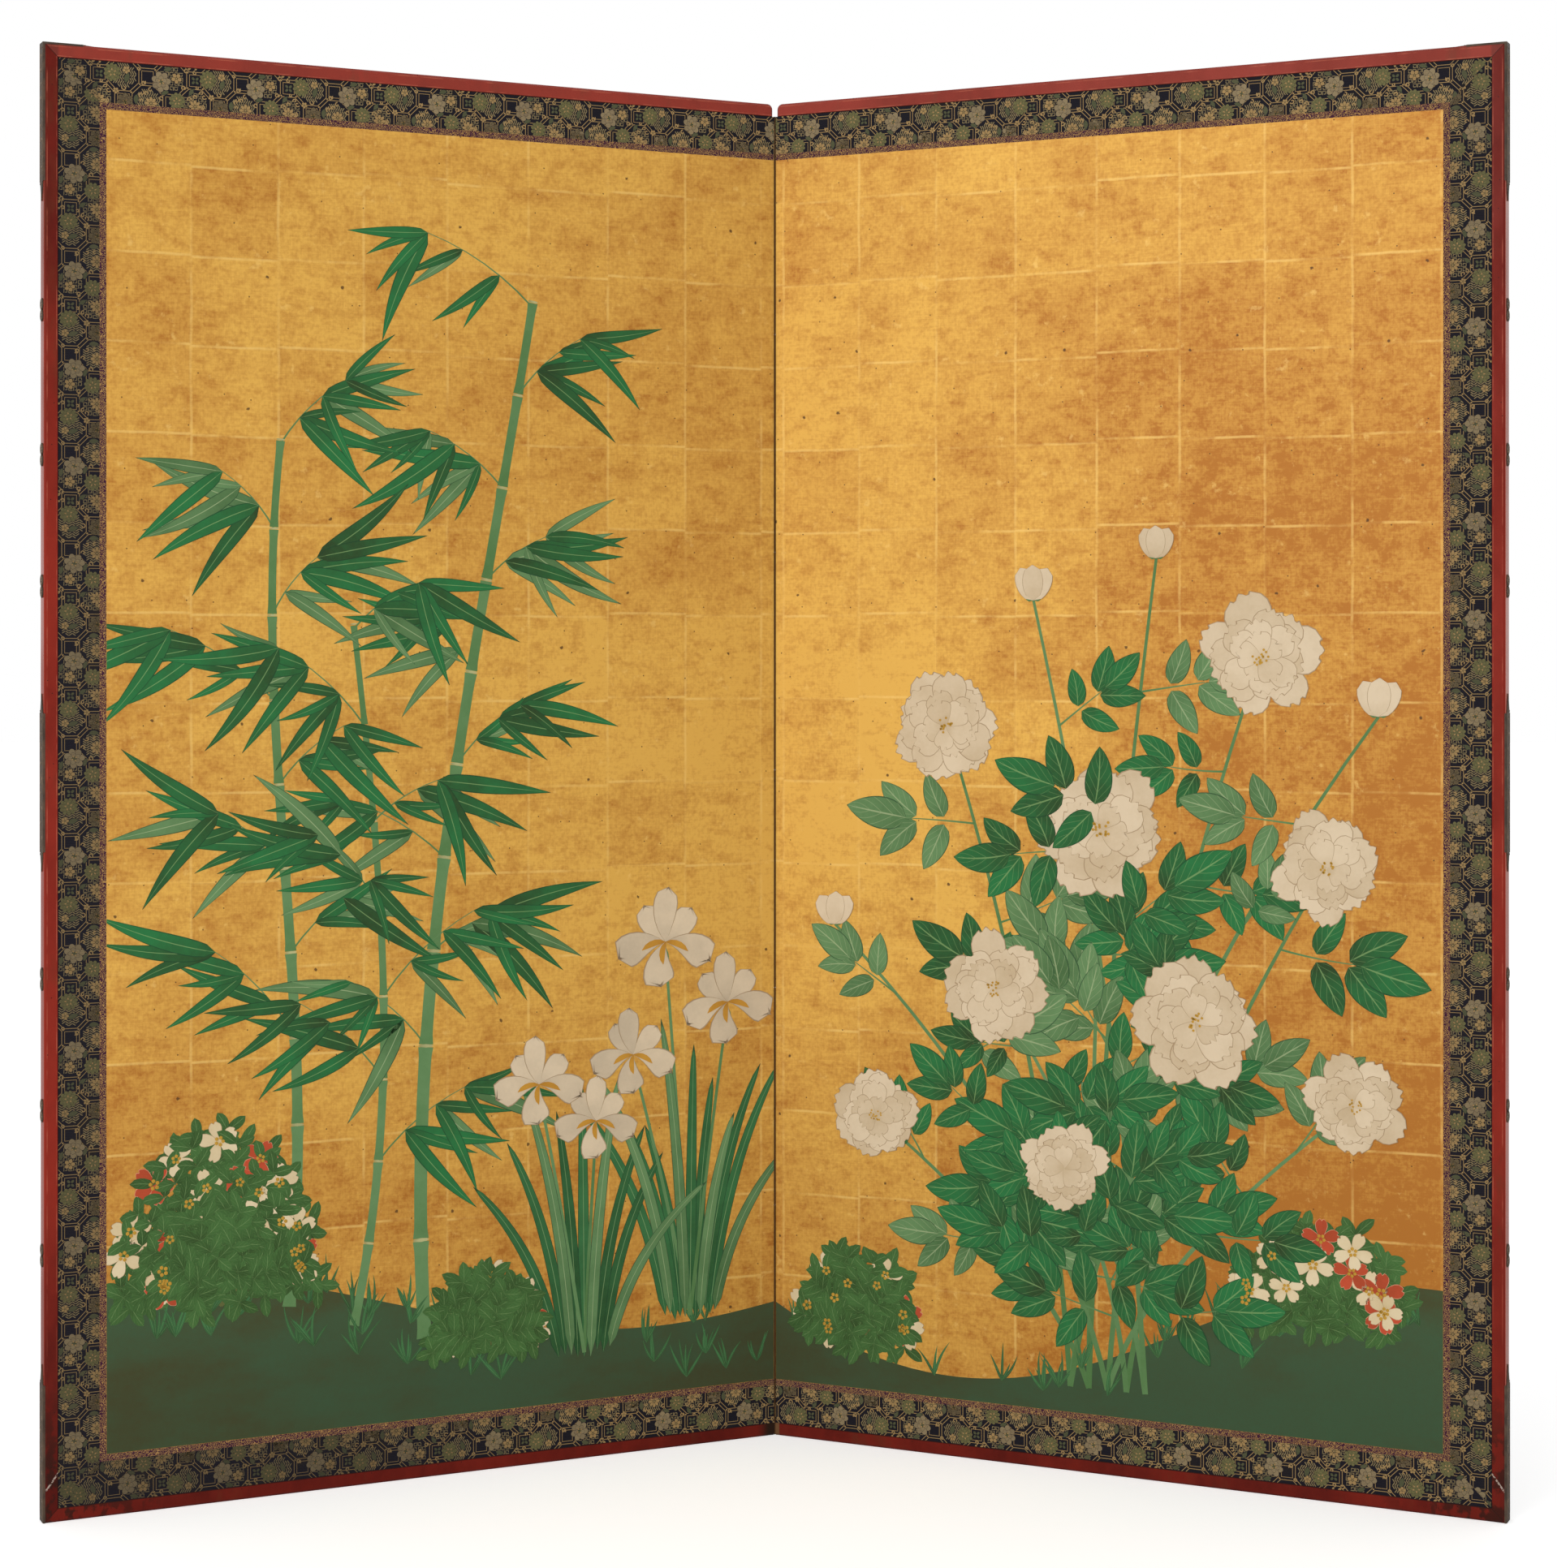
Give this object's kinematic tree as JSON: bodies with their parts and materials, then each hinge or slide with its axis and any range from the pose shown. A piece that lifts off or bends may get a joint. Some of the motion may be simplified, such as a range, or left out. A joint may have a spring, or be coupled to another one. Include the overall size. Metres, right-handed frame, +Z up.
{
  "type": "folding screen",
  "caption": "Free-standing folding screen of hinged panels with a gold-leaf picture field, brocade borders, a red lacquered frame and metal edge fittings.",
  "frame": {"origin": "on the floor, below the middle of the screen's bounding box as it stands half open", "axes": "+Z up; the picture faces -Y; the fold lies in the plane x = 0, towards +Y; the leaves run outwards to -X and +X and towards -Y"},
  "size_m": [1.705, 0.4122, 1.7112],
  "materials": {
    "core_wood": "planed",
    "peg_wood": "planed",
    "underlay_paper": "matte",
    "gold_leaf": "satin gold leaf",
    "backing_paper": "matte",
    "edge_paper": "matte",
    "hinge_paper": "matte",
    "brocade": "woven silk",
    "inner_brocade": "woven silk",
    "red_lacquer": "polished lacquer",
    "fitting_metal": "dark patina"
  },
  "bodies": {
    "hinge_strips": {"folding_strips": "hinge_paper"},
    "left_leaf": {"folding_strip_front_ends": "hinge_paper", "left_back_underlay": "underlay_paper", "left_backing_sheet": "backing_paper", "left_bottom_corner_fitting": "fitting_metal", "left_bottom_rail": "red_lacquer", "left_brocade_bottom": "brocade", "left_brocade_side": "brocade", "left_brocade_top": "brocade", "left_centre_fitting": "fitting_metal", "left_core_bottom_rail": "core_wood", "left_core_fold_stile": "core_wood", "left_core_level_laths": "core_wood", "left_core_outer_stile": "core_wood", "left_core_top_rail": "core_wood", "left_core_upright_laths": "core_wood", "left_fold_edge_paper": "edge_paper", "left_frame_pegs": "peg_wood", "left_front_underlay": "underlay_paper", "left_inner_border_bottom": "inner_brocade", "left_inner_border_side": "inner_brocade", "left_inner_border_top": "inner_brocade", "left_outer_stile": "red_lacquer", "left_picture_sheet": "gold_leaf", "left_small_plates": "fitting_metal", "left_top_corner_fitting": "fitting_metal", "left_top_rail": "red_lacquer", "return_strips": "hinge_paper"},
    "right_leaf": {"folding_strip_back_ends": "hinge_paper", "return_strip_front_ends": "hinge_paper", "right_back_underlay": "underlay_paper", "right_backing_sheet": "backing_paper", "right_bottom_corner_fitting": "fitting_metal", "right_bottom_rail": "red_lacquer", "right_brocade_bottom": "brocade", "right_brocade_side": "brocade", "right_brocade_top": "brocade", "right_centre_fitting": "fitting_metal", "right_core_bottom_rail": "core_wood", "right_core_fold_stile": "core_wood", "right_core_level_laths": "core_wood", "right_core_outer_stile": "core_wood", "right_core_top_rail": "core_wood", "right_core_upright_laths": "core_wood", "right_fold_edge_paper": "edge_paper", "right_frame_pegs": "peg_wood", "right_front_underlay": "underlay_paper", "right_inner_border_bottom": "inner_brocade", "right_inner_border_side": "inner_brocade", "right_inner_border_top": "inner_brocade", "right_outer_stile": "red_lacquer", "right_picture_sheet": "gold_leaf", "right_small_plates": "fitting_metal", "right_top_corner_fitting": "fitting_metal", "right_top_rail": "red_lacquer"}
  },
  "joints": [
    {"name": "front_fold", "type": "hinge", "parent": "hinge_strips", "child": "left_leaf", "pos_m": [0, 0.18632, 0], "axis": [0, 0, 1], "range_deg": [-50, 130]},
    {"name": "back_fold", "type": "hinge", "parent": "hinge_strips", "child": "right_leaf", "pos_m": [0.00951, 0.20671, 0], "axis": [0, 0, -1], "range_deg": [-180, 0]}
  ]
}
